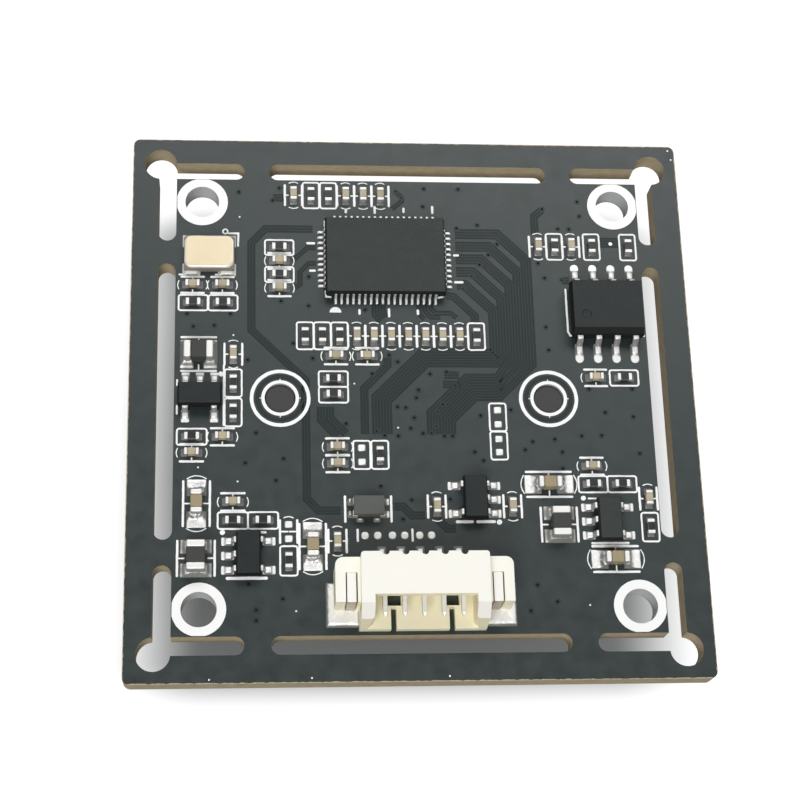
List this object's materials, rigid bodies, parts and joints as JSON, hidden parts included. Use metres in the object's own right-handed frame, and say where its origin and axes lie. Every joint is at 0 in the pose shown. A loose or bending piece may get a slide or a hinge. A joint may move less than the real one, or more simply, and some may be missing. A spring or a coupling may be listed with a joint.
{
  "type": "camera module",
  "caption": "Square board camera: slotted dark circuit board with chips and a cream side-entry connector on one face, a screw-in lens in its holder under the other.",
  "frame": {"origin": "on the optical axis, at the lens's front rim, which is the module's lowest face", "axes": "+Z along the optical axis from the lens to the board's component side, +Y from the connector's edge to the opposite edge, +X to the right of the component side"},
  "size_m": [0.038, 0.038, 0.021],
  "materials": {
    "solder_mask": "dark solder mask over glass-epoxy board",
    "tinned_copper": "tinned, satin",
    "lead_metal": "tin-plated, satin",
    "chip_mould": "fine matt epoxy",
    "crystal_metal": "gold-washed lid, satin",
    "crystal_ceramic": "matt",
    "capacitor_ceramic": "satin",
    "ferrite": "matt",
    "resistor_ceramic": "matt",
    "resistor_coat": "satin",
    "connector_nylon": "cream nylon, satin",
    "sensor_ceramic": "matt",
    "silicon": "polished",
    "cover_glass": "clear",
    "lens_glass": "clear, coated",
    "filter_glass": "clear, coated",
    "holder_plastic": "black, fine matt",
    "barrel_metal": "black anodised",
    "legend_ink": "white printed ink",
    "glue": "set adhesive"
  },
  "bodies": {
    "root": {"circuit_board": "solder_mask", "corner_hole_plating": "tinned_copper", "peg_hole_plating": "tinned_copper", "image_processor": "chip_mould", "image_processor_leads": "lead_metal", "flash_memory": "chip_mould", "flash_memory_leads": "lead_metal", "crystal_base": "crystal_ceramic", "crystal_lid": "crystal_metal", "core_regulator": "chip_mould", "core_regulator_leads": "lead_metal", "sensor_regulator": "chip_mould", "sensor_regulator_leads": "lead_metal", "video_driver": "chip_mould", "video_driver_leads": "lead_metal", "input_regulator": "chip_mould", "input_regulator_leads": "lead_metal", "power_inductors": "ferrite", "power_inductor_ends": "lead_metal", "line_choke": "ferrite", "line_choke_ends": "lead_metal", "bulk_capacitors": "capacitor_ceramic", "bulk_capacitor_ends": "lead_metal", "small_capacitors": "capacitor_ceramic", "small_capacitor_ends": "lead_metal", "small_resistors": "resistor_ceramic", "resistor_coats": "resistor_coat", "small_resistor_ends": "lead_metal", "connector_housing": "connector_nylon", "connector_pins": "lead_metal", "connector_solder_tabs": "lead_metal", "image_sensor": "sensor_ceramic", "sensor_die": "silicon", "sensor_cover_glass": "cover_glass", "lens_holder": "holder_plastic", "lens_barrel": "barrel_metal", "lens_retaining_ring": "barrel_metal", "front_lens": "lens_glass", "middle_lens": "lens_glass", "rear_lens": "lens_glass", "aperture_stop": "barrel_metal", "rear_spacer": "barrel_metal", "infrared_filter": "filter_glass", "focus_glue": "glue"}
  },
  "joints": []
}
